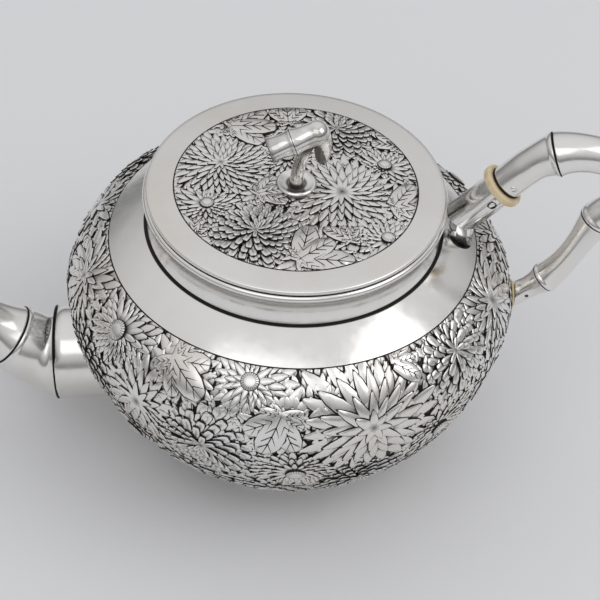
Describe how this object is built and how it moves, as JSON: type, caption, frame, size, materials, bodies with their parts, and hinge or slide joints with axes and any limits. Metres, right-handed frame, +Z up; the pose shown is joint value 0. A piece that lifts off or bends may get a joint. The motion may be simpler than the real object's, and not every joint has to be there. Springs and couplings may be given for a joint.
{
  "type": "teapot",
  "caption": "Squat round silver teapot with chased chrysanthemum relief, lift-off lid, bamboo-form spout, finial and loop handle with ivory-coloured insulator rings.",
  "frame": {"origin": "centre of the foot ring on the table", "axes": "+X from the body's axis towards the handle, +Z up along the body's axis"},
  "size_m": [0.2353, 0.1328, 0.1197],
  "materials": {
    "polished_silver": "polished silver with soft wear",
    "chased_silver": "chased silver with darkened ground",
    "ivory": "aged ivory-coloured, satin"
  },
  "bodies": {
    "pot": {"body_shell": "chased_silver", "foot_ring": "polished_silver", "collar": "polished_silver", "collar_bead": "polished_silver", "strainer_plate": "polished_silver", "spout_root": "polished_silver", "spout_lower": "polished_silver", "spout_middle": "polished_silver", "spout_tip": "polished_silver", "handle_post": "polished_silver", "upper_socket": "polished_silver", "handle_upper_section": "polished_silver", "handle_top_bend": "polished_silver", "handle_outer_section": "polished_silver", "handle_back_section": "polished_silver", "handle_lower_section": "polished_silver", "lower_peg": "polished_silver", "handle_pins": "polished_silver", "upper_insulator": "ivory", "lower_insulator": "ivory"},
    "lid": {"lid_plate": "chased_silver", "lid_bezel": "polished_silver", "finial_washer": "polished_silver", "finial_stem": "polished_silver", "finial_cane": "polished_silver", "finial_nut": "polished_silver"}
  },
  "joints": [
    {"name": "lid_lift", "type": "slide", "parent": "pot", "child": "lid", "axis": [0, 0, 1], "range_m": [0, 0.06]}
  ]
}
